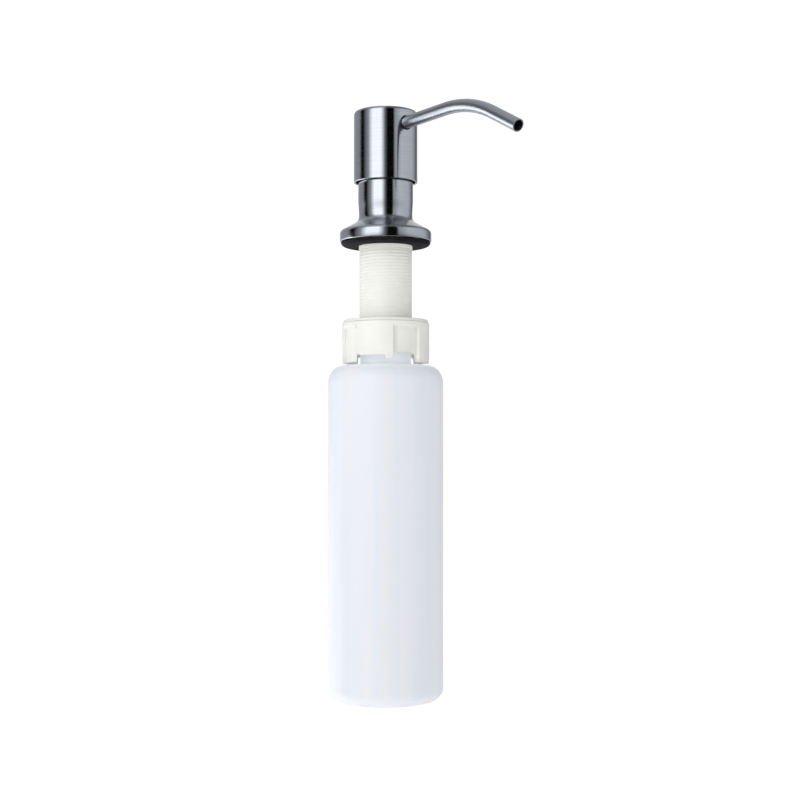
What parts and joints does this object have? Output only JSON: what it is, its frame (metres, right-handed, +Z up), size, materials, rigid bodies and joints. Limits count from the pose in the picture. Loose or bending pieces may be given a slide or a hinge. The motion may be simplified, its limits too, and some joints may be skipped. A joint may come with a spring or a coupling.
{
  "type": "built-in soap pump dispenser",
  "caption": "Worktop-mounted soap dispenser: steel press head with a curved spout, flared flange, threaded shank, clamp nut, inner pump and a screw-on bottle below.",
  "frame": {"origin": "on the dispenser's axis, at the plane of the worktop's top surface, which is the underside of the flange gasket", "axes": "+Z up along the axis out of the worktop, +X the way the spout points"},
  "size_m": [0.1175, 0.0548, 0.2794],
  "materials": {
    "steel_head": "brushed around the axis",
    "steel_spout": "satin, brushed along the tube",
    "steel_flange": "brushed around the axis",
    "steel_spring": "drawn wire",
    "steel_ball": "polished",
    "rubber_black": "matt black rubber",
    "rubber_seal": "matt black rubber",
    "plastic_shank": "warm white moulded plastic",
    "plastic_nut": "warm white moulded plastic",
    "plastic_pump": "natural white moulded plastic",
    "plastic_piston": "natural moulded plastic",
    "plastic_tube": "milky extruded tube",
    "plastic_bottle": "milky blue-white blown plastic, satin"
  },
  "bodies": {
    "base": {"flange_body": "steel_flange", "flange_gasket": "rubber_black", "shank": "plastic_shank"},
    "nut_carriage": {"clamp_washer": "plastic_nut"},
    "nut": {"clamp_nut": "plastic_nut"},
    "bottle_carriage": {"bottle_neck_gasket": "rubber_seal"},
    "bottle": {"bottle": "plastic_bottle"},
    "pump": {"pump_cylinder": "plastic_pump", "pump_seat_gasket": "rubber_seal", "pump_chaplet": "plastic_piston", "pump_collar": "plastic_pump", "dip_tube": "plastic_tube", "return_spring": "steel_spring"},
    "valve_ball": {"inlet_ball": "steel_ball"},
    "plunger": {"piston": "plastic_piston", "stem_foot": "plastic_pump"},
    "head": {"stem": "plastic_pump", "head_core": "plastic_pump", "head_cap": "steel_head", "spout": "steel_spout", "spout_o_ring": "rubber_seal"}
  },
  "joints": [
    {"name": "nut_travel", "type": "slide", "parent": "base", "child": "nut_carriage", "axis": [0, 0, 1], "range_m": [0, 0.0301]},
    {"name": "nut_turn", "type": "hinge", "parent": "nut_carriage", "child": "nut", "pos_m": [0, 0, -0.046], "axis": [0, 0, 1], "range_deg": [0, 7200]},
    {"name": "bottle_travel", "type": "slide", "parent": "base", "child": "bottle_carriage", "axis": [0, 0, 1], "range_m": [-0.0091, 0]},
    {"name": "bottle_turn", "type": "hinge", "parent": "bottle_carriage", "child": "bottle", "pos_m": [0, 0, -0.05], "axis": [0, 0, 1], "range_deg": [-1080, 0]},
    {"name": "refill_lift", "type": "slide", "parent": "base", "child": "pump", "axis": [0, 0, 1], "range_m": [0, 0.25]},
    {"name": "inlet_ball_lift", "type": "slide", "parent": "pump", "child": "valve_ball", "axis": [0, 0, 1], "range_m": [0, 0.0015]},
    {"name": "pump_stroke", "type": "slide", "parent": "pump", "child": "plunger", "axis": [0, 0, 1], "range_m": [-0.013, 0], "stiffness_N_per_m": 350, "springref_m": 0.012, "deforming": ["return_spring"]},
    {"name": "head_swivel", "type": "hinge", "parent": "plunger", "child": "head", "pos_m": [0, 0, 0.056], "axis": [0, 0, 1], "continuous": true}
  ],
  "couplings": [
    {"joint": "nut_travel", "follows": "nut_turn", "m_per_rad": 0.00023873},
    {"joint": "bottle_travel", "follows": "bottle_turn", "m_per_rad": 0.00047746}
  ]
}
